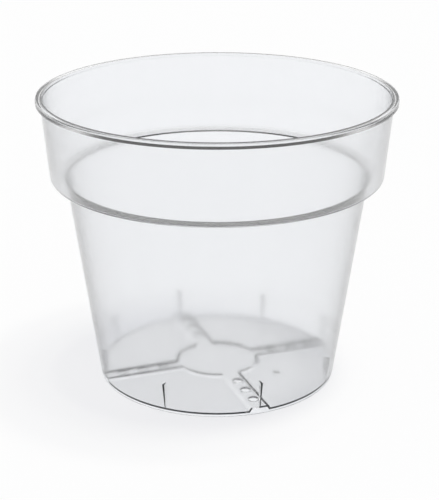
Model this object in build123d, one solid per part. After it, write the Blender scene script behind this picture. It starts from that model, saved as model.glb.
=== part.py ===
from build123d import *
import math
import os

# A clear orchid pot, moulded in one piece and split here at its own feature lines.
# Millimetres and degrees. The Z axis is the pot's axis, and the pot stands on Z = 0.
# The drain channels lie along the X and Y axes.

# Wall, rim and collar
rim_radius = 60.0  # outside of the rim bead
pot_height = 99.0  # table to the top of the rim
wall = 0.9  # upright walls and the shoulder
rim_height = 1.65
rim_overhang = 1.55  # the bead stands this far out from the collar
rim_outer_round = 0.5
rim_under_round = 0.3
mouth_land = 0.1  # flat left on the collar's top edge, inside which it is rounded
collar_height = 25.95  # underside of the shoulder to the underside of the rim
collar_taper = 5.2

# Shoulder and body
shoulder_step = 5.15  # collar's outer corner to the outside of the body
shoulder_round = 1.4  # outer corner of the shoulder
shoulder_lip_round = 0.4  # inner edge of the step, at the top of the body
body_taper = 7.95
foot_round = 0.25

# Floor and drains
floor_gap = 0.85  # table to the underside of the floor, inside the foot of the wall
floor_sheet = 0.67  # thickness of the floor, raised parts included
raised_step = 1.3  # floor panels to the top of the hub and of the channels
raised_draft = 28.0  # slope of the raised sides, away from upright
hub_radius = 14.45  # top edge of the hub
channel_count = 4
channel_top_width = 6.2
hole_diameter = 3.7
holes_per_channel = 3
hub_hole_margin = 6.3  # hub edge to the first hole's centre
wall_hole_margin = 5.4  # last hole's centre to the wall

# Stacking ribs and the moulding mark
rib_height = 9.0  # above the panel or channel that the rib stands on
rib_foot = 0.4  # how far a rib stands out from the wall at the floor
rib_edge = 0.15  # width of a rib's inner edge
rib_flare = 9.0  # slope of a rib's sides, from its inner edge out to the wall
pip_diameter = 2.2
pip_height = 0.35
pip_round = 0.25
pip_offset = 8.25  # hub edge to the mark's centre

# Levels and radii that follow
rim_base = pot_height - rim_height
shoulder_base = rim_base - collar_height
shoulder_top = shoulder_base + wall
collar_base = shoulder_base + shoulder_round + wall
collar_slope = math.tan(math.radians(collar_taper))
body_slope = math.tan(math.radians(body_taper))
floor_top = floor_gap + floor_sheet
raised_top = floor_top + raised_step
raised_under = raised_top - floor_sheet
raised_slope = math.tan(math.radians(raised_draft))
raised_side = floor_sheet / math.cos(math.radians(raised_draft))
rib_slope = math.tan(math.radians(rib_flare))
channel_step = 360.0 / channel_count
reach = rim_radius + rim_overhang


def collar_radius(height):
    """Outside of the collar at a height."""
    return rim_radius - rim_overhang - (rim_base - height) * collar_slope


body_top_radius = collar_radius(shoulder_base) - shoulder_step


def body_radius(height):
    """Outside of the body at a height."""
    return body_top_radius - (shoulder_base - height) * body_slope


floor_radius = body_radius(floor_top) - wall


def ring(corners):
    """Revolve an outline about Z. Each corner is a radius, a height and a rounding."""
    outline = make_face(Polyline([(radius, height) for radius, height, _ in corners], close=True))
    for radius, height, rounding in corners:
        if rounding > 0:
            corner = outline.vertices().sort_by_distance((radius, height, 0))[0]
            outline = fillet(corner, rounding)
    return revolve(Plane.XZ * outline, Axis.Z)


def slanted_side(half_width):
    """Half-width of a raised form at the floor's underside, from its half-width at the top."""
    return half_width + (raised_top - floor_gap) * raised_slope


def rim_bead():
    """Ring that stands out round the mouth, flush with the collar's top edge."""
    return ring([
        (collar_radius(rim_base), rim_base, 0),
        (rim_radius, rim_base, rim_under_round),
        (rim_radius, pot_height, rim_outer_round),
        (collar_radius(pot_height), pot_height, 0),
    ])


def collar_wall():
    """Tapered wall from the shoulder's rounded corner up to the mouth."""
    return ring([
        (collar_radius(collar_base) - wall, collar_base, 0),
        (collar_radius(collar_base), collar_base, 0),
        (collar_radius(pot_height), pot_height, 0),
        (collar_radius(pot_height) - wall, pot_height, wall - mouth_land),
    ])


def shoulder_ledge():
    """Flat step round the top of the body, turned up into the collar at its outer corner."""
    return ring([
        (body_radius(shoulder_base), shoulder_base, 0),
        (collar_radius(shoulder_base), shoulder_base, shoulder_round),
        (collar_radius(collar_base), collar_base, 0),
        (collar_radius(collar_base) - wall, collar_base, 0),
        (collar_radius(shoulder_top) - wall, shoulder_top, max(shoulder_round - wall, 0)),
        (body_radius(shoulder_top), shoulder_top, 0),
    ])


def body_wall():
    """Tapered wall from the table up through the shoulder. Its foot carries the pot."""
    return ring([
        (body_radius(0) - wall, 0, 0),
        (body_radius(0), 0, foot_round),
        (body_radius(shoulder_top), shoulder_top, 0),
        (body_radius(shoulder_top) - wall, shoulder_top, shoulder_lip_round),
    ])


def inside_of_body():
    """The space inside the body wall, as a solid that trims what reaches the wall."""
    return ring([
        (0, 0, 0),
        (body_radius(0) - wall, 0, 0),
        (body_radius(shoulder_base) - wall, shoulder_base, 0),
        (0, shoulder_base, 0),
    ])


def hub_form(top_radius, top, foot_offset):
    """Solid cone with a flat top, for the outside of the hub or for the space under it."""
    return ring([
        (0, floor_gap, 0),
        (slanted_side(hub_radius) - foot_offset, floor_gap, 0),
        (top_radius, top, 0),
        (0, top, 0),
    ])


def channel_form(top_half_width, top, foot_offset):
    """Solid trapezium along +X, for the outside of a channel or for the space under it."""
    foot = slanted_side(channel_top_width / 2) - foot_offset
    section = make_face(Polyline([
        (-foot, floor_gap),
        (foot, floor_gap),
        (top_half_width, top),
        (-top_half_width, top),
    ], close=True))
    return extrude(Plane.YZ * section, amount=reach)


def around(solid, first_angle, count):
    """Copies of a solid, spaced evenly about the pot's axis."""
    return [Rot(0, 0, first_angle + 360.0 / count * index) * solid for index in range(count)]


def angle_about_axis(solid):
    """Direction of a solid's centre, counted round from +X."""
    centre = solid.center()
    return math.atan2(centre.Y, centre.X) % math.tau


# Outsides of the raised hub and channels, and the spaces under them
under_shift = raised_side - floor_sheet * raised_slope
hub_outside = hub_form(hub_radius, raised_top, 0)
hub_void = hub_form(hub_radius - under_shift, raised_under, raised_side)
channel_outside = channel_form(channel_top_width / 2, raised_top, 0)
channel_void = channel_form(channel_top_width / 2 - under_shift, raised_under, raised_side)
pot_inside = inside_of_body()


def drain_hub():
    """Raised middle of the floor, open underneath to the channels."""
    hub = hub_outside - hub_void
    for space in around(channel_void, 0, channel_count):
        hub -= space
    return hub


def drain_channel():
    """One raised arm from the hub to the wall, folded over its channel and drilled."""
    arm = (channel_outside & pot_inside) - hub_outside - channel_void
    first = hub_radius + hub_hole_margin
    last = floor_radius - wall_hole_margin
    pitch = (last - first) / max(holes_per_channel - 1, 1)
    for index in range(holes_per_channel):
        place = Pos(first + pitch * index, 0, raised_under)
        arm -= place * Cylinder(hole_diameter / 2, raised_top)
    return arm


def floor_panels():
    """Low quarters of the floor, in order of their angle."""
    slab = Pos(0, 0, floor_gap + floor_sheet / 2) * Cylinder(reach, floor_sheet)
    plates = (slab & pot_inside) - hub_outside
    for arm in around(channel_outside, 0, channel_count):
        plates -= arm
    return sorted(plates.solids(), key=angle_about_axis)


def stacking_rib(floor_level):
    """Thin upright wedge on the inside of the wall at +X, with a straight inner edge."""
    inner = floor_radius - rib_foot
    edge = rib_edge / 2
    flank = edge + (reach - inner) * rib_slope
    section = make_face(Polyline([
        (inner, -edge),
        (reach, -flank),
        (reach, flank),
        (inner, edge),
    ], close=True))
    return extrude(Pos(0, 0, floor_level) * section, amount=rib_height) & pot_inside


def moulding_pip(angle):
    """Small round mark on a floor panel."""
    stud = Cylinder(pip_diameter / 2, pip_height)
    stud = fillet(stud.edges().group_by(Axis.Z)[-1], pip_round)
    place = Pos(hub_radius + pip_offset, 0, floor_top + pip_height / 2)
    return Rot(0, 0, angle) * place * stud


def pot_nodes():
    """Every node's name and solid."""
    nodes = {
        "rim_bead": rim_bead(),
        "collar_wall": collar_wall(),
        "shoulder_ledge": shoulder_ledge(),
        "body_wall": body_wall(),
        "drain_hub": drain_hub(),
        "moulding_pip": moulding_pip(-channel_step / 2),
    }
    for index, arm in enumerate(around(drain_channel(), 0, channel_count)):
        nodes[f"drain_channel_{index + 1}"] = arm
    for index, plate in enumerate(floor_panels()):
        nodes[f"floor_panel_{index + 1}"] = plate
    channel_ribs = around(stacking_rib(raised_top), 0, channel_count)
    panel_ribs = around(stacking_rib(floor_top), channel_step / 2, channel_count)
    for index in range(channel_count):
        nodes[f"stacking_rib_{2 * index + 1}"] = channel_ribs[index]
        nodes[f"stacking_rib_{2 * index + 2}"] = panel_ribs[index]
    return nodes


os.makedirs("parts", exist_ok=True)
for name, solid in pot_nodes().items():
    export_step(solid, f"parts/{name}.step")
    print(name, "volume", round(solid.volume, 2), "solids", len(solid.solids()))
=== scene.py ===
"""Dresses the clear orchid pot: one moulded shell of hazy clear plastic on a pale table.

Lengths are metres in the part's own frame, with the pot's axis on Z and the table at Z = 0.
"""

from __future__ import annotations

import logging
import math
from dataclasses import dataclass
from enum import Enum
from typing import Callable

import bmesh
import bpy
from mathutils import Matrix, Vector

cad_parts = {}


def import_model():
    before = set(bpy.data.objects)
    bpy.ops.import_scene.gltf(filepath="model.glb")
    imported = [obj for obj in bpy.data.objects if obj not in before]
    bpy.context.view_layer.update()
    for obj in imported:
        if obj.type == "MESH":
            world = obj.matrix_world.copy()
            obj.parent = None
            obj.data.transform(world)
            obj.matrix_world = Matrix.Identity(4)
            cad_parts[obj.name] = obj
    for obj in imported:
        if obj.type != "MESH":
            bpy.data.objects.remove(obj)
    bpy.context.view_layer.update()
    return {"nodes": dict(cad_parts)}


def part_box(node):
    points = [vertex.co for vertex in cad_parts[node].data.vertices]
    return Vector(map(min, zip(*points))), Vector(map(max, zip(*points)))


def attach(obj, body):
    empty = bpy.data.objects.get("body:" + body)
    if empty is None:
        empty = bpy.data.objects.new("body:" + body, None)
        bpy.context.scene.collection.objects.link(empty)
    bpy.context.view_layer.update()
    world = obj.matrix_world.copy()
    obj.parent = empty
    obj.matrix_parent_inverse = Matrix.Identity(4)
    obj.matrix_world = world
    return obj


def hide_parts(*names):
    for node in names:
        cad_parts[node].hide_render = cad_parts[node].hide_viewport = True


LOG = logging.getLogger("orchid_pot")
MM = 0.001
MERGE_DISTANCE = 1e-7

Colour = tuple[float, float, float, float]


class Cut(Enum):
    """How a tool solid changes the moulding."""

    ADD = "UNION"
    TAKE = "DIFFERENCE"
    KEEP = "INTERSECT"


@dataclass(frozen=True)
class Corner:
    """One corner of a turned outline.

    Attributes:
        radius: Distance from the pot's axis.
        height: Height above the table.
        rounding: Radius of the fillet on the corner, or 0 for a sharp one.
    """

    radius: float
    height: float
    rounding: float = 0.0


class Bench:
    """Modelling steps shared by every form of the moulding."""

    @staticmethod
    def clear() -> None:
        """Leave edit mode and deselect every object."""
        if bpy.context.object is not None and bpy.context.object.mode != "OBJECT":
            bpy.ops.object.mode_set(mode="OBJECT")
        bpy.ops.object.select_all(action="DESELECT")

    @staticmethod
    def open_edit(piece: bpy.types.Object) -> None:
        """Make a piece active and start editing it with nothing selected."""
        Bench.clear()
        piece.select_set(True)
        bpy.context.view_layer.objects.active = piece
        bpy.ops.object.mode_set(mode="EDIT")
        bpy.ops.mesh.select_all(action="DESELECT")

    @staticmethod
    def close_edit() -> bpy.types.Object:
        """Go back to object mode.

        Returns:
            The piece that was being edited.
        """
        bpy.ops.object.mode_set(mode="OBJECT")
        return bpy.context.object

    @staticmethod
    def pick_edges(wanted: Callable[[Vector, Vector], bool]) -> None:
        """Select the edges of the piece being edited that pass a test.

        Args:
            wanted: Takes an edge's two ends and says whether to select it.
        """
        bpy.ops.mesh.select_mode(type="EDGE")
        mesh = bpy.context.object.data
        editing = bmesh.from_edit_mesh(mesh)
        for edge in editing.edges:
            edge.select_set(wanted(edge.verts[0].co, edge.verts[1].co))
        editing.select_flush_mode()
        bmesh.update_edit_mesh(mesh)

    @staticmethod
    def pick_vertices(wanted: Callable[[Vector], bool]) -> None:
        """Select the vertices of the piece being edited that pass a test.

        Args:
            wanted: Takes a vertex's place and says whether to select it.
        """
        bpy.ops.mesh.select_mode(type="VERT")
        mesh = bpy.context.object.data
        editing = bmesh.from_edit_mesh(mesh)
        for vertex in editing.verts:
            vertex.select_set(wanted(vertex.co))
        editing.select_flush_mode()
        bmesh.update_edit_mesh(mesh)

    @staticmethod
    def shift(piece: bpy.types.Object, step: tuple[float, float, float]) -> bpy.types.Object:
        """Move a piece's mesh.

        Args:
            piece: The piece to move.
            step: How far it moves along each axis.

        Returns:
            The same piece.
        """
        Bench.open_edit(piece)
        bpy.ops.mesh.select_all(action="SELECT")
        bpy.ops.transform.translate(value=step)
        return Bench.close_edit()

    @staticmethod
    def turn(piece: bpy.types.Object, angle: float) -> bpy.types.Object:
        """Turn a piece's mesh round the Z axis.

        Args:
            piece: The piece to turn.
            angle: How far it turns, counted against the operator's own sense.

        Returns:
            The same piece.
        """
        Bench.open_edit(piece)
        bpy.ops.mesh.select_all(action="SELECT")
        bpy.ops.transform.rotate(value=-angle, orient_axis="Z", center_override=(0, 0, 0))
        return Bench.close_edit()

    @staticmethod
    def combine(moulding: bpy.types.Object, tool: bpy.types.Object, cut: Cut) -> None:
        """Change the moulding by a tool solid, and delete the tool.

        Args:
            moulding: The piece that is kept.
            tool: The solid that is used up.
            cut: Whether the tool is added, taken away or trims what is outside it.
        """
        Bench.clear()
        bpy.context.view_layer.objects.active = moulding
        step = moulding.modifiers.new(tool.name, "BOOLEAN")
        step.operation = cut.value
        step.solver = "EXACT"
        step.object = tool
        bpy.ops.object.modifier_apply(modifier=step.name)
        bpy.data.objects.remove(tool, do_unlink=True)

    @staticmethod
    def turned_copies(piece: bpy.types.Object, count: int) -> bpy.types.Object:
        """Copy a piece evenly round the Z axis and join the copies to it.

        Args:
            piece: The first of the copies.
            count: How many there are in all.

        Returns:
            One object that holds them all.
        """
        whole = [piece]
        for index in range(1, count):
            copy = piece.copy()
            copy.data = piece.data.copy()
            bpy.context.scene.collection.objects.link(copy)
            whole.append(Bench.turn(copy, math.tau * index / count))
        Bench.clear()
        for part in whole:
            part.select_set(True)
        bpy.context.view_layer.objects.active = piece
        bpy.ops.object.join()
        return piece


class Turning:
    """Solids turned from an outline of rounded corners."""

    @staticmethod
    def arc(before: Corner, corner: Corner, after: Corner, steps: int) -> list[tuple[float, float]]:
        """Round one corner of an outline.

        Args:
            before: The corner ahead of it.
            corner: The corner to round.
            after: The corner that follows.
            steps: Straight pieces in the fillet.

        Returns:
            The points that take the corner's place.
        """
        here = Vector((corner.radius, corner.height))
        if corner.rounding <= 0:
            return [tuple(here)]
        back = (Vector((before.radius, before.height)) - here).normalized()
        ahead = (Vector((after.radius, after.height)) - here).normalized()
        half = back.angle(ahead) / 2
        start = here + back * (corner.rounding / math.tan(half))
        centre = here + (back + ahead).normalized() * (corner.rounding / math.sin(half))
        arm = start - centre
        turn = math.copysign(math.pi - 2 * half, arm.cross(ahead))
        points = []
        for step in range(steps + 1):
            angle = turn * step / steps
            points.append((
                centre.x + arm.x * math.cos(angle) - arm.y * math.sin(angle),
                centre.y + arm.x * math.sin(angle) + arm.y * math.cos(angle),
            ))
        return points

    @staticmethod
    def outline(corners: list[Corner], steps: int) -> list[tuple[float, float]]:
        """Points of an open outline with its inner corners rounded."""
        points = [(corners[0].radius, corners[0].height)]
        for before, corner, after in zip(corners, corners[1:], corners[2:]):
            points += Turning.arc(before, corner, after, steps)
        points.append((corners[-1].radius, corners[-1].height))
        return points

    @staticmethod
    def turn(name: str, corners: list[Corner], sides: int, steps: int) -> bpy.types.Object:
        """Draw an outline vertex by vertex and spin it round the Z axis.

        Args:
            name: Name of the new piece.
            corners: Outline from the axis below to the axis above.
            sides: Steps in a full turn.
            steps: Straight pieces in each fillet.

        Returns:
            A closed solid of revolution.
        """
        points = Turning.outline(corners, steps)
        Bench.clear()
        bpy.ops.mesh.primitive_plane_add(size=2 * MM)
        piece = bpy.context.object
        piece.name = name
        Bench.open_edit(piece)
        Bench.pick_vertices(lambda place: place.x < 0 or place.y < 0)
        bpy.ops.mesh.delete(type="VERT")
        bpy.ops.mesh.select_all(action="SELECT")
        first = Vector((points[0][0], 0, points[0][1]))
        bpy.ops.transform.translate(value=first - Vector((MM, MM, 0)))
        for (radius, height), (next_radius, next_height) in zip(points, points[1:]):
            step = (next_radius - radius, 0, next_height - height)
            bpy.ops.mesh.extrude_vertices_move(TRANSFORM_OT_translate={"value": step})
        bpy.ops.mesh.select_all(action="SELECT")
        bpy.ops.mesh.spin(steps=sides, angle=math.tau, center=(0, 0, 0), axis=(0, 0, 1))
        bpy.ops.mesh.select_all(action="SELECT")
        bpy.ops.mesh.remove_doubles(threshold=MERGE_DISTANCE)
        bpy.ops.mesh.normals_make_consistent(inside=False)
        return Bench.close_edit()


@dataclass
class PotShell:
    """The turned part of the moulding: rim, collar, shoulder, body wall and floor.

    Attributes:
        wall: Thickness of the upright walls.
        mouth_wall: Thickness of the collar at the mouth, from where it thins to the shoulder.
        step_outer: Height of the step's top above its underside, beside the collar.
        step_inner: The same beside the body.
        step_fall: How far the step's underside falls from the collar to the body.
        rim_undercut: How far the rim's underside rises from its outer edge to the collar.
        rim_groove: How far it cuts into the collar there.
        rim_skirt: Width of the flat edge at the bottom of the rim.
        body_taper: Slope of the body, in degrees from upright.
        sides: Steps in a full turn.
        round_steps: Straight pieces in each fillet.

    The fields that end in round are the radii of the fillets.
    """

    wall: float = 0.5 * MM
    mouth_wall: float = 0.8 * MM
    step_outer: float = 0.66 * MM
    step_inner: float = 0.34 * MM
    step_fall: float = 0.25 * MM
    rim_undercut: float = 0.9 * MM
    rim_groove: float = 0.3 * MM
    rim_skirt: float = 0.2 * MM
    body_taper: float = 7.95
    floor_under_round: float = 0.08 * MM
    foot_inner_round: float = 0.12 * MM
    foot_round: float = 0.25 * MM
    step_under_round: float = 0.3 * MM
    shoulder_round: float = 1.4 * MM
    step_corner_round: float = 0.5 * MM
    rim_under_round: float = 0.05 * MM
    rim_neck_round: float = 0.1 * MM
    rim_outer_round: float = 0.5 * MM
    mouth_round: float = 0.12 * MM
    lip_round: float = 0.12 * MM
    floor_corner_round: float = 0.15 * MM
    sides: int = 256
    round_steps: int = 6

    def __post_init__(self) -> None:
        """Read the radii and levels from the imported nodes."""
        rim_low, rim_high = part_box("rim_bead")
        collar_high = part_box("collar_wall")[1]
        ledge_low, ledge_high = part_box("shoulder_ledge")
        body_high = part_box("body_wall")[1]
        floor_low, floor_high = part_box("floor_panel_1")
        self.rim_radius = rim_high.x
        self.rim_base = rim_low.z
        self.rim_top = rim_high.z
        self.step_base = ledge_low.z
        self.body_high = body_high.z
        self.collar_mouth = collar_high.x
        self.collar_slope = (collar_high.x - ledge_high.x) / (collar_high.z - ledge_high.z)
        self.body_top = body_high.x
        self.body_slope = math.tan(math.radians(self.body_taper))
        self.gap = floor_low.z
        self.floor = floor_high.z
        self.sheet = self.floor - self.gap

    def collar_radius(self, height: float) -> float:
        """Outside radius of the collar at a height."""
        return self.collar_mouth - (self.rim_top - height) * self.collar_slope

    def body_radius(self, height: float) -> float:
        """Outside radius of the body at a height."""
        return self.body_top - (self.body_high - height) * self.body_slope

    def inner_radius(self, height: float) -> float:
        """Inside radius of the body at a height."""
        return self.body_radius(height) - self.wall

    def corners(self) -> list[Corner]:
        """Outline from the middle of the underside, up the outside and down the inside."""
        mouth = self.collar_radius(self.rim_top) - self.mouth_wall
        neck = self.rim_base + self.rim_undercut
        step_high = self.step_base + self.step_outer
        step_low = self.step_base + self.step_inner
        step_under = self.step_base - self.step_fall
        return [
            Corner(0, self.gap),
            Corner(self.inner_radius(self.gap), self.gap, self.floor_under_round),
            Corner(self.inner_radius(0), 0, self.foot_inner_round),
            Corner(self.body_radius(0), 0, self.foot_round),
            Corner(self.body_radius(step_under), step_under, self.step_under_round),
            Corner(self.collar_radius(self.step_base), self.step_base, self.shoulder_round),
            Corner(self.collar_radius(self.rim_base), self.rim_base),
            Corner(self.collar_radius(neck) - self.rim_groove, neck, self.rim_neck_round),
            Corner(self.rim_radius - self.rim_skirt, self.rim_base, self.rim_under_round),
            Corner(self.rim_radius, self.rim_base, self.rim_under_round),
            Corner(self.rim_radius, self.rim_top, self.rim_outer_round),
            Corner(mouth, self.rim_top, self.mouth_round),
            Corner(self.collar_radius(step_high) - self.wall, step_high, self.step_corner_round),
            Corner(self.inner_radius(step_low), step_low, self.lip_round),
            Corner(self.inner_radius(self.floor), self.floor, self.floor_corner_round),
            Corner(0, self.floor),
        ]

    def build(self) -> bpy.types.Object:
        """Turn the shell.

        Returns:
            The closed moulding with a flat floor inside its foot ring.
        """
        return Turning.turn("pot_moulding", self.corners(), self.sides, self.round_steps)

    def inside(self, inset: float, low: float, high: float) -> bpy.types.Object:
        """Turn a plug that fits inside the body wall.

        Args:
            inset: How far it stays clear of the wall.
            low: Level of its bottom.
            high: Level of its top.

        Returns:
            The plug, which trims what would reach the wall.
        """
        corners = [
            Corner(0, low),
            Corner(self.inner_radius(low) - inset, low),
            Corner(self.inner_radius(high) - inset, high),
            Corner(0, high),
        ]
        return Turning.turn("inside", corners, self.sides, self.round_steps)


@dataclass
class DrainCross:
    """The raised hub and channels of the floor, folded up from the sheet over an open space.

    Attributes:
        shell: The turned shell that they rise from.
        draft: Slope of the raised sides, in degrees from upright.
        channel_width: Width of a channel's flat top.
        hub_hole_margin: From the hub's top edge to the first hole's centre.
        wall_hole_margin: From the last hole's centre to the wall.
        edge_round: Rounding of the raised edges.
        seam: How much the hub's levels pass the channels', so that one flat face covers the middle.
        end_inset: How far the space under a channel ends inside the wall.
        cut_depth: How far below the table the cutting forms reach.
        overshoot: How many times past the cross's own levels a trimming form or a drill reaches.
    """

    shell: PotShell
    draft: float = 28.0
    channel_width: float = 6.2 * MM
    channel_count: int = 4
    hole_diameter: float = 3.7 * MM
    holes_per_channel: int = 3
    hub_hole_margin: float = 6.3 * MM
    wall_hole_margin: float = 5.8 * MM
    edge_round: float = 0.3 * MM
    seam: float = 0.003 * MM
    end_inset: float = 0.02 * MM
    cut_depth: float = 1.0 * MM
    overshoot: float = 2.0
    hub_sides: int = 192
    hole_sides: int = 48
    edge_steps: int = 3

    def __post_init__(self) -> None:
        """Read the hub's size and work out the sheet's slanted sides."""
        hub_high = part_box("drain_hub")[1]
        self.slope = math.tan(math.radians(self.draft))
        self.raised = hub_high.z
        self.hub_radius = hub_high.x - (self.raised - self.shell.gap) * self.slope
        self.under = self.raised - self.shell.sheet
        side = self.shell.sheet / math.cos(math.radians(self.draft))
        self.under_shift = side - self.shell.sheet * self.slope

    def spread(self, half: float, top: float, level: float) -> float:
        """Half-width of a slanted form at a lower level, from its half-width at the top."""
        return half + (top - level) * self.slope

    def hub(self, name: str, radius: float, top: float, low: float) -> bpy.types.Object:
        """Turn a flat-topped cone with a rounded top edge."""
        corners = [
            Corner(0, low),
            Corner(self.spread(radius, top, low), low),
            Corner(radius, top, self.edge_round),
            Corner(0, top),
        ]
        return Turning.turn(name, corners, self.hub_sides, self.edge_steps)

    def bar(self, name: str, half: float, top: float, low: float, turn: int) -> bpy.types.Object:
        """Shape a cube into a bar with slanted sides, for two channels in line.

        Args:
            name: Name of the new piece.
            half: Half of its width at the top.
            top: Level of its top.
            low: Level of its foot.
            turn: Steps of one channel that it is turned from the X axis.

        Returns:
            The bar, with its top edges rounded and its ends inside the wall.
        """
        reach = self.shell.inner_radius(self.shell.floor) + self.shell.wall / 2
        foot = self.spread(half, top, low)
        middle = (top + low) / 2
        Bench.clear()
        bpy.ops.mesh.primitive_cube_add(size=1, location=(0, 0, 0))
        piece = bpy.context.object
        piece.name = name
        Bench.open_edit(piece)
        bpy.ops.mesh.select_all(action="SELECT")
        bpy.ops.transform.resize(value=(2 * reach, 2 * foot, top - low))
        bpy.ops.transform.translate(value=(0, 0, middle))
        Bench.pick_vertices(lambda place: place.z > middle)
        bpy.ops.transform.resize(value=(1, half / foot, 1))
        Bench.pick_edges(
            lambda one, two: min(one.z, two.z) > middle and abs(one.y - two.y) < MERGE_DISTANCE
        )
        bpy.ops.mesh.bevel(offset=self.edge_round, segments=self.edge_steps, affect="EDGES")
        return Bench.turn(Bench.close_edit(), math.tau * turn / self.channel_count)

    def raise_cross(self, moulding: bpy.types.Object) -> None:
        """Add the hub and channels on top of the floor."""
        low = self.shell.gap + self.shell.sheet / 2
        for turn in range(self.channel_count // 2):
            arm = self.bar(f"channel_{turn}", self.channel_width / 2, self.raised, low, turn)
            Bench.combine(moulding, arm, Cut.ADD)
        hub = self.hub("hub", self.hub_radius, self.raised + self.seam, low)
        Bench.combine(moulding, hub, Cut.ADD)

    def hollow_cross(self, moulding: bpy.types.Object) -> None:
        """Take away the space under the hub and channels, up to the closed foot ring."""
        low = -self.cut_depth
        half = self.channel_width / 2 - self.under_shift
        for turn in range(self.channel_count // 2):
            space = self.bar(f"drain_{turn}", half, self.under, low, turn)
            inside = self.shell.inside(
                self.end_inset, self.overshoot * low, self.overshoot * self.raised
            )
            Bench.combine(space, inside, Cut.KEEP)
            Bench.combine(moulding, space, Cut.TAKE)
        space = self.hub("drain_hub", self.hub_radius - self.under_shift, self.under + self.seam, low)
        Bench.combine(moulding, space, Cut.TAKE)

    def drill(self, moulding: bpy.types.Object) -> None:
        """Drill the round drain holes through the channels."""
        first = self.hub_radius + self.hub_hole_margin
        last = self.shell.inner_radius(self.shell.floor) - self.wall_hole_margin
        pitch = (last - first) / (self.holes_per_channel - 1)
        for index in range(self.holes_per_channel):
            Bench.clear()
            bpy.ops.mesh.primitive_cylinder_add(
                vertices=self.hole_sides,
                radius=self.hole_diameter / 2,
                depth=2 * self.overshoot * self.raised,
            )
            drill = bpy.context.object
            drill.name = f"drill_{index}"
            Bench.shift(drill, (first + pitch * index, 0, 0))
            Bench.combine(moulding, Bench.turned_copies(drill, self.channel_count), Cut.TAKE)

    def build(self, moulding: bpy.types.Object) -> None:
        """Form the raised cross in the moulding."""
        self.raise_cross(moulding)
        self.hollow_cross(moulding)
        self.drill(moulding)


@dataclass
class StackingRibs:
    """Thin upright wedges at the foot of the wall.

    Attributes:
        shell: The wall that they stand on.
        cross: The channels that every second one stands over.
        edge: Width of a rib's inner edge.
        flare: Slope of its sides, in degrees, from that edge out to the wall.
    """

    shell: PotShell
    cross: DrainCross
    edge: float = 0.15 * MM
    flare: float = 9.0

    @staticmethod
    def outer_corner(level: float, inner: float) -> Callable[[Vector], bool]:
        """Test for the corners of a wedge that lie at a level and out from its inner edge.

        Args:
            level: Height of the corners.
            inner: Place of the inner edge along X.

        Returns:
            A test for one vertex.
        """
        return lambda place: abs(place.z - level) < MERGE_DISTANCE and place.x > inner + MERGE_DISTANCE

    def wedge(self, node: str) -> bpy.types.Object:
        """Shape a cube into one wedge on the wall at +X.

        Args:
            node: Name of a packed rib that gives its height.

        Returns:
            A wedge that runs from inside the floor to inside the wall.
        """
        low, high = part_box(node)
        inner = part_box("stacking_rib_1")[0].x
        bottom = low.z - self.shell.sheet / 2
        spread = math.tan(math.radians(self.flare))
        low_outer = self.shell.inner_radius(bottom) + self.shell.wall / 2
        high_outer = self.shell.inner_radius(high.z) + self.shell.wall / 2
        Bench.clear()
        bpy.ops.mesh.primitive_cube_add(size=1, location=(0, 0, 0))
        piece = bpy.context.object
        piece.name = f"wedge_{node}"
        Bench.open_edit(piece)
        bpy.ops.mesh.select_all(action="SELECT")
        bpy.ops.transform.resize(value=(low_outer - inner, self.edge, high.z - bottom))
        bpy.ops.transform.translate(value=((low_outer + inner) / 2, 0, (bottom + high.z) / 2))
        for level, outer in ((bottom, low_outer), (high.z, high_outer)):
            Bench.pick_vertices(self.outer_corner(level, inner))
            bpy.ops.transform.translate(value=(outer - low_outer, 0, 0))
            widen = 1 + 2 * (outer - inner) * spread / self.edge
            bpy.ops.transform.resize(value=(1, widen, 1))
        return Bench.close_edit()

    def build(self, moulding: bpy.types.Object) -> None:
        """Add the ribs over the channels and over the panels."""
        half_step = math.pi / self.cross.channel_count
        for node, angle in (("stacking_rib_1", 0.0), ("stacking_rib_2", half_step)):
            wedge = Bench.turn(self.wedge(node), angle)
            Bench.combine(moulding, Bench.turned_copies(wedge, self.cross.channel_count), Cut.ADD)


@dataclass
class MouldingPip:
    """Small round mark on one floor panel.

    Attributes:
        root: Level inside the floor sheet where it begins.
        edge_round: Rounding of its top edge.
        sides: Steps in a full turn.
        edge_steps: Straight pieces in the rounding.
    """

    root: float
    edge_round: float = 0.25 * MM
    sides: int = 40
    edge_steps: int = 3

    def build(self, moulding: bpy.types.Object) -> None:
        """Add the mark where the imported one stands."""
        low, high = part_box("moulding_pip")
        centre = (low + high) / 2
        radius = (high.x - low.x) / 2
        corners = [
            Corner(0, self.root),
            Corner(radius, self.root),
            Corner(radius, high.z, self.edge_round),
            Corner(0, high.z),
        ]
        mark = Turning.turn("pip", corners, self.sides, self.edge_steps)
        Bench.combine(moulding, Bench.shift(mark, (centre.x, centre.y, 0)), Cut.ADD)


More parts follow.
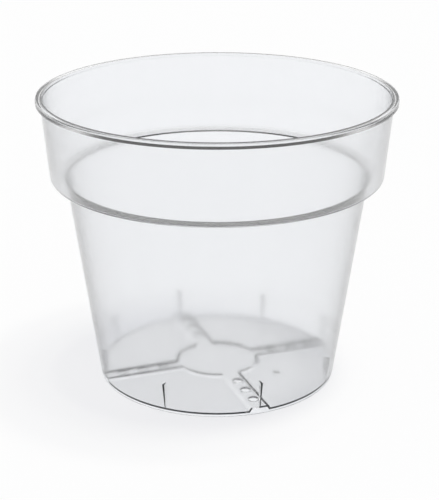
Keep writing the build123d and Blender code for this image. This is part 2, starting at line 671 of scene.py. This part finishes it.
class Wiring:
    """Shader nodes that the materials and the world share."""

    # A Mix node also has sockets for other kinds of data. Those for colours are its factor, the two
    # colours and the result.
    MIX_INPUTS = (0, 6, 7)
    MIX_RESULT = 2

    @staticmethod
    def feed(tree: bpy.types.NodeTree, slot: bpy.types.NodeSocket, value: object) -> None:
        """Link a socket to an input, or set the input to a plain value.

        Args:
            tree: The nodes that both belong to.
            slot: The input.
            value: A socket, a number or a colour.
        """
        if isinstance(value, bpy.types.NodeSocket):
            tree.links.new(value, slot)
        else:
            slot.default_value = value

    @staticmethod
    def maths(tree: bpy.types.NodeTree, kind: str, *values: object) -> bpy.types.NodeSocket:
        """Add a Math node.

        Args:
            tree: The nodes that it joins.
            kind: Its operation.
            values: Sockets or numbers for its inputs, in order.

        Returns:
            Its output.
        """
        node = tree.nodes.new("ShaderNodeMath")
        node.operation = kind
        for slot, value in zip(node.inputs, values):
            Wiring.feed(tree, slot, value)
        return node.outputs["Value"]

    @staticmethod
    def blend(
        tree: bpy.types.NodeTree, factor: object, one: object, two: object, kind: str = "MIX"
    ) -> bpy.types.NodeSocket:
        """Add a Mix node for colours.

        Args:
            tree: The nodes that it joins.
            factor: How much the second colour counts.
            one: First colour.
            two: Second colour.
            kind: How the two are blended.

        Returns:
            Its colour.
        """
        node = tree.nodes.new("ShaderNodeMix")
        node.data_type = "RGBA"
        node.blend_type = kind
        for slot, value in zip(Wiring.MIX_INPUTS, (factor, one, two)):
            Wiring.feed(tree, node.inputs[slot], value)
        return node.outputs[Wiring.MIX_RESULT]

    @staticmethod
    def choose(
        tree: bpy.types.NodeTree,
        seen: bpy.types.NodeSocket,
        choices: list[tuple[bpy.types.NodeSocket, bpy.types.NodeSocket]],
    ) -> bpy.types.NodeSocket:
        """Let one shader after another take over where its mask says so.

        Args:
            tree: The nodes that they join.
            seen: Shader where no mask is set.
            choices: Pairs of a mask and its shader, of which a later one wins.

        Returns:
            The shader that is left.
        """
        for mask, shader in choices:
            mix = tree.nodes.new("ShaderNodeMixShader")
            for slot, value in zip(mix.inputs, (mask, seen, shader)):
                tree.links.new(value, slot)
            seen = mix.outputs["Shader"]
        return seen


@dataclass(frozen=True)
class MouldedSurface:
    """Node group for a moulded skin: cloudy patches, flow lines and faint waves.

    Attributes:
        cloud_scale: Scale of the patches along each axis, per metre.
        flow_scale: Scale of the flow lines, which are drawn out along the pot's axis.
        wave_scale: Scale of the waves.
        cloud_detail: Octaves of the patches' noise.
        flow_detail: Octaves of the flow lines' noise.
        wave_detail: Octaves of the waves' noise.
        cloud_share: How much of the haze comes and goes with the patches.
        flow_loss: Share of the light that the darkest flow line takes.
    """

    cloud_scale: tuple[float, float, float] = (55.0, 55.0, 30.0)
    flow_scale: tuple[float, float, float] = (210.0, 210.0, 14.0)
    wave_scale: tuple[float, float, float] = (70.0, 70.0, 45.0)
    cloud_detail: float = 3.0
    flow_detail: float = 2.0
    wave_detail: float = 1.0
    cloud_share: float = 0.5
    flow_loss: float = 0.01

    @staticmethod
    def noise(
        tree: bpy.types.NodeTree,
        place: bpy.types.NodeSocket,
        scale: tuple[float, float, float],
        detail: float,
    ) -> bpy.types.NodeSocket:
        """Add a noise on stretched object coordinates.

        Args:
            tree: The group that it goes in.
            place: Object coordinates.
            scale: Scale of the pattern along each axis, per metre.
            detail: Octaves of the noise.

        Returns:
            Its value, from 0 to 1.
        """
        mapping = tree.nodes.new("ShaderNodeMapping")
        mapping.inputs["Scale"].default_value = scale
        texture = tree.nodes.new("ShaderNodeTexNoise")
        texture.inputs["Scale"].default_value = 1.0
        texture.inputs["Detail"].default_value = detail
        tree.links.new(place, mapping.inputs["Vector"])
        tree.links.new(mapping.outputs["Vector"], texture.inputs["Vector"])
        return texture.outputs["Fac"]

    def group(self) -> bpy.types.NodeTree:
        """Build the group.

        Returns:
            A tree with roughness, shade and surface height as outputs.
        """
        tree = bpy.data.node_groups.new("moulded_surface", "ShaderNodeTree")
        tree.interface.new_socket("Haze", in_out="INPUT", socket_type="NodeSocketFloat")
        for name in ("Roughness", "Shade", "Height"):
            tree.interface.new_socket(name, in_out="OUTPUT", socket_type="NodeSocketFloat")
        given = tree.nodes.new("NodeGroupInput")
        result = tree.nodes.new("NodeGroupOutput")
        place = tree.nodes.new("ShaderNodeTexCoord").outputs["Object"]
        cloud = self.noise(tree, place, self.cloud_scale, self.cloud_detail)
        flow = self.noise(tree, place, self.flow_scale, self.flow_detail)
        wave = self.noise(tree, place, self.wave_scale, self.wave_detail)
        patch = Wiring.maths(tree, "MULTIPLY_ADD", cloud, self.cloud_share, 1 - self.cloud_share / 2)
        rough = Wiring.maths(tree, "MULTIPLY", patch, given.outputs["Haze"])
        streak = Wiring.maths(tree, "MULTIPLY_ADD", flow, self.flow_loss, 1 - self.flow_loss)
        tree.links.new(rough, result.inputs["Roughness"])
        tree.links.new(streak, result.inputs["Shade"])
        tree.links.new(wave, result.inputs["Height"])
        return tree


@dataclass(frozen=True)
class ClearPlastic:
    """Clear moulded plastic with a light satin haze.

    Attributes:
        tint: Colour that each surface passes.
        haze: Roughness of its surfaces.
        ior: Index of refraction.
        ripple: Height of the faint waves in its surfaces.
        face_share: Share of lamp and bounced light that a surface lets through face on.
        edge_share: Share of lamp light that it lets through at a grazing angle.
        bounce_share: Share of bounced light that it lets through there.
        crossings: Surfaces that a ray can cross before the painted shade takes the plastic's place.
        bounce_weight: How many more crossings each reflection inside the plastic counts for.
        painted_shade: Painted shade: the near-black colour that takes the plastic's place once a ray has
            crossed more surfaces than crossings allows.
    """

    tint: Colour = (0.997, 0.999, 1.0, 1.0)
    haze: float = 0.108
    ior: float = 1.49
    ripple: float = 0.02 * MM
    face_share: Colour = (0.999, 0.999, 0.999, 1.0)
    edge_share: Colour = (0.86, 0.862, 0.88, 1.0)
    bounce_share: Colour = (0.96, 0.961, 0.967, 1.0)
    crossings: float = 5.2
    bounce_weight: float = 0.25
    painted_shade: Colour = (0.02, 0.022, 0.025, 1.0)

    def skin(self, tree: bpy.types.NodeTree, surface: bpy.types.Node) -> None:
        """Feed the moulded skin's patterns to the shader.

        Args:
            tree: The material's nodes.
            surface: Its shader.
        """
        skin = tree.nodes.new("ShaderNodeGroup")
        skin.node_tree = MouldedSurface().group()
        skin.inputs["Haze"].default_value = self.haze
        shade = Wiring.blend(tree, 1.0, self.tint, skin.outputs["Shade"], "MULTIPLY")
        bump = tree.nodes.new("ShaderNodeBump")
        bump.inputs["Strength"].default_value = 1.0
        bump.inputs["Distance"].default_value = self.ripple
        tree.links.new(shade, surface.inputs["Base Color"])
        tree.links.new(skin.outputs["Roughness"], surface.inputs["Roughness"])
        tree.links.new(skin.outputs["Height"], bump.inputs["Height"])
        tree.links.new(bump.outputs["Normal"], surface.inputs["Normal"])

    def painted_shade_mask(self, tree: bpy.types.NodeTree, path: bpy.types.Node) -> bpy.types.NodeSocket:
        """Mask of rays that have crossed more surfaces than crossings allows, where painted shade takes
        over.

        Args:
            tree: The material's nodes.
            path: Its Light Path node.

        Returns:
            The mask.
        """
        depth = path.outputs["Ray Depth"]
        bounces = path.outputs["Glossy Depth"]
        crossed = Wiring.maths(tree, "MULTIPLY_ADD", bounces, self.bounce_weight, depth)
        return Wiring.maths(tree, "GREATER_THAN", crossed, self.crossings)

    def shade_light(self, tree: bpy.types.NodeTree, edge: Colour) -> bpy.types.NodeSocket:
        """Let light straight through, and less of it at a grazing angle.

        Args:
            tree: The material's nodes.
            edge: Share that passes at a grazing angle.

        Returns:
            The shader.
        """
        facing = tree.nodes.new("ShaderNodeLayerWeight")
        facing.inputs["Blend"].default_value = 0.5
        through = tree.nodes.new("ShaderNodeBsdfTransparent")
        share = Wiring.blend(tree, facing.outputs["Facing"], self.face_share, edge)
        tree.links.new(share, through.inputs["Color"])
        return through.outputs["BSDF"]

    def material(self) -> bpy.types.Material:
        """Build the material.

        Returns:
            Glass-like plastic that lets lamps and bounced light through unbent, with painted shade where
            a ray has crossed too many surfaces.
        """
        plastic = bpy.data.materials.new("clear_plastic")
        plastic.use_nodes = True
        tree = plastic.node_tree
        tree.nodes.clear()
        out = tree.nodes.new("ShaderNodeOutputMaterial")
        surface = tree.nodes.new("ShaderNodeBsdfPrincipled")
        surface.inputs["IOR"].default_value = self.ior
        surface.inputs["Transmission Weight"].default_value = 1.0
        self.skin(tree, surface)
        path = tree.nodes.new("ShaderNodeLightPath")
        # Painted shade: a near-black diffuse takes the plastic's place once a ray has crossed too many
        # surfaces.
        painted_shade = tree.nodes.new("ShaderNodeBsdfDiffuse")
        painted_shade.inputs["Color"].default_value = self.painted_shade
        choices = [
            (self.painted_shade_mask(tree, path), painted_shade.outputs["BSDF"]),
            (path.outputs["Is Diffuse Ray"], self.shade_light(tree, self.bounce_share)),
            (path.outputs["Is Shadow Ray"], self.shade_light(tree, self.edge_share)),
        ]
        seen = Wiring.choose(tree, surface.outputs["BSDF"], choices)
        tree.links.new(seen, out.inputs["Surface"])
        return plastic


@dataclass
class Studio:
    """Table, light and camera.

    Attributes:
        picture_height: Longer side of the picture, in pixels.
        focal_pixels: Focal length in pixels of the picture.
        axis_offset_pixels: How far the pot's axis stands left of the picture's middle.
        sensor: Longer side of the camera's sensor, in its own millimetres.
        camera_back: Distance of the camera from the pot's axis.
        camera_height: Its height above the table.
        camera_pitch: How far it looks down, in degrees.
        camera_turn: How far it stands round from the front, in degrees.
        near_clip: Nearest distance that it sees.
        table_gap: How far the table lies under the pot.
        table_white: Colour of the table.
        table_size: Length of its sides.
        table_painted_shade: Its colour where the plastic shows it, greyer and a little bluer than the
            table: painted shade that darkens all that shows through the plastic. The picture's backdrop
            seems to be whitened round the pot alone, so it is greyer inside.
        table_roughness: Roughness of its surface.
        fill: Level of the even light on the table.
        room: Level of the room that the plastic shows above the table.
        sun_level: Level that the key light adds on the table.
        sun_angle: How wide the key light is, in degrees.
        sun_from: Direction that it comes from.
        white_band: Height of the direction up to which the surroundings are white, from 0 to 1.
        dark_room: Height of the direction from which they are dark.
    """

    picture_height: float = 500.0
    focal_pixels: float = 1404.07
    axis_offset_pixels: float = 2.327
    sensor: float = 36.0
    camera_back: float = 452.84 * MM
    camera_height: float = 215.8 * MM
    camera_pitch: float = 20.859
    camera_turn: float = -20.15
    near_clip: float = 10 * MM
    table_gap: float = 0.05 * MM
    table_size: float = 6.0
    table_white: Colour = (0.95, 0.95, 0.95, 1.0)
    table_painted_shade: Colour = (0.87, 0.88, 0.9, 1.0)
    table_roughness: float = 0.9
    fill: float = 0.38
    room: float = 0.1
    sun_level: float = 0.66
    sun_angle: float = 16.0
    sun_from: tuple[float, float, float] = (0.2, -0.03, 1.0)
    white_band: float = 0.32
    dark_room: float = 0.46

    def camera(self) -> None:
        """Place the camera where the picture was taken from."""
        lens = bpy.data.cameras.new("camera")
        lens.sensor_width = self.sensor
        lens.lens = self.focal_pixels * self.sensor / self.picture_height
        lens.shift_x = self.axis_offset_pixels / self.picture_height
        lens.clip_start = self.near_clip
        camera = bpy.data.objects.new("camera", lens)
        bpy.context.scene.collection.objects.link(camera)
        turn = math.radians(self.camera_turn)
        camera.location = (
            math.sin(turn) * self.camera_back,
            -math.cos(turn) * self.camera_back,
            self.camera_height,
        )
        camera.rotation_euler = (math.radians(90 - self.camera_pitch), 0, turn)
        bpy.context.scene.camera = camera

    def table(self) -> None:
        """Lay a pale table just under the pot."""
        Bench.clear()
        bpy.ops.mesh.primitive_plane_add(size=self.table_size, location=(0, 0, -self.table_gap))
        table = bpy.context.object
        table.name = "table"
        finish = bpy.data.materials.new("table_white")
        finish.use_nodes = True
        tree = finish.node_tree
        surface = tree.nodes["Principled BSDF"]
        # Painted shade: rays that reach the table through the plastic see it greyer than the camera
        # does.
        through = tree.nodes.new("ShaderNodeLightPath").outputs["Is Transmission Ray"]
        colour = Wiring.blend(tree, through, self.table_white, self.table_painted_shade)
        tree.links.new(colour, surface.inputs["Base Color"])
        surface.inputs["Roughness"].default_value = self.table_roughness
        surface.inputs["Specular IOR Level"].default_value = 0.0
        table.data.materials.append(finish)

    def sun(self) -> None:
        """Light the table softly from the right, for its shadow alone."""
        light = bpy.data.lights.new("key", "SUN")
        light.angle = math.radians(self.sun_angle)
        place = Vector(self.sun_from).normalized()
        light.energy = math.pi * self.sun_level / place.z
        lamp = bpy.data.objects.new("key", light)
        bpy.context.scene.collection.objects.link(lamp)
        lamp.location = place
        lamp.rotation_euler = (-place).to_track_quat("-Z", "Y").to_euler()
        lamp.visible_glossy = False
        lamp.visible_transmission = False

    def world(self) -> None:
        """Surround the table with a white band low down and a dark room above it.

        The table gets an even light instead, and the camera sees white.
        """
        world = bpy.data.worlds.new("studio")
        bpy.context.scene.world = world
        world.use_nodes = True
        tree = world.node_tree
        nodes = tree.nodes
        links = tree.links
        nodes.clear()
        out = nodes.new("ShaderNodeOutputWorld")
        place = nodes.new("ShaderNodeTexCoord")
        split = nodes.new("ShaderNodeSeparateXYZ")
        ramp = nodes.new("ShaderNodeValToRGB")
        ramp.color_ramp.elements[0].position = self.white_band
        ramp.color_ramp.elements[0].color = (1, 1, 1, 1)
        ramp.color_ramp.elements[1].position = self.dark_room
        ramp.color_ramp.elements[1].color = (self.room, self.room, self.room, 1)
        links.new(place.outputs["Generated"], split.inputs["Vector"])
        links.new(split.outputs["Z"], ramp.inputs["Fac"])
        path = nodes.new("ShaderNodeLightPath")
        even = nodes.new("ShaderNodeBackground")
        even.inputs["Color"].default_value = (self.fill, self.fill, self.fill, 1)
        room = nodes.new("ShaderNodeBackground")
        links.new(ramp.outputs["Color"], room.inputs["Color"])
        white = nodes.new("ShaderNodeBackground")
        white.inputs["Color"].default_value = (1, 1, 1, 1)
        choices = [
            (path.outputs["Is Glossy Ray"], room.outputs["Background"]),
            (path.outputs["Is Transmission Ray"], room.outputs["Background"]),
            (path.outputs["Is Camera Ray"], white.outputs["Background"]),
        ]
        seen = Wiring.choose(tree, even.outputs["Background"], choices)
        links.new(seen, out.inputs["Surface"])

    def build(self) -> None:
        """Set up the whole studio."""
        self.table()
        self.world()
        self.sun()
        self.camera()
        bpy.context.scene.view_settings.view_transform = "Standard"


@dataclass
class OrchidPot:
    """The whole moulding.

    Attributes:
        smooth_angle: Edges that turn more than this, in degrees, stay sharp.
    """

    smooth_angle: float = 30.0

    def finish(self, moulding: bpy.types.Object) -> None:
        """Merge stray vertices, smooth the turned faces and keep flat ones flat."""
        Bench.open_edit(moulding)
        bpy.ops.mesh.select_all(action="SELECT")
        bpy.ops.mesh.remove_doubles(threshold=MERGE_DISTANCE)
        Bench.close_edit()
        Bench.clear()
        moulding.select_set(True)
        bpy.context.view_layer.objects.active = moulding
        bpy.ops.object.shade_smooth_by_angle(angle=math.radians(self.smooth_angle))
        weights = moulding.modifiers.new("flat_faces", "WEIGHTED_NORMAL")
        weights.keep_sharp = True
        bpy.ops.object.modifier_apply(modifier=weights.name)

    def build(self, nodes: list[str]) -> bpy.types.Object:
        """Model, dress and attach the moulding.

        Args:
            nodes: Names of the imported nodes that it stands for.

        Returns:
            The finished piece.
        """
        shell = PotShell()
        moulding = shell.build()
        cross = DrainCross(shell)
        cross.build(moulding)
        StackingRibs(shell, cross).build(moulding)
        MouldingPip(shell.gap + shell.sheet / 2).build(moulding)
        self.finish(moulding)
        moulding.data.materials.clear()
        moulding.data.materials.append(ClearPlastic().material())
        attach(moulding, "root")
        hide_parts(*nodes)
        return moulding


def main() -> None:
    """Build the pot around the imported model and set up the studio."""
    logging.basicConfig(level=logging.INFO, format="%(message)s")
    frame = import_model()
    moulding = OrchidPot().build(sorted(frame["nodes"]))
    LOG.info("%s: %d faces", moulding.name, len(moulding.data.polygons))
    Studio().build()


if __name__ == "__main__":
    main()
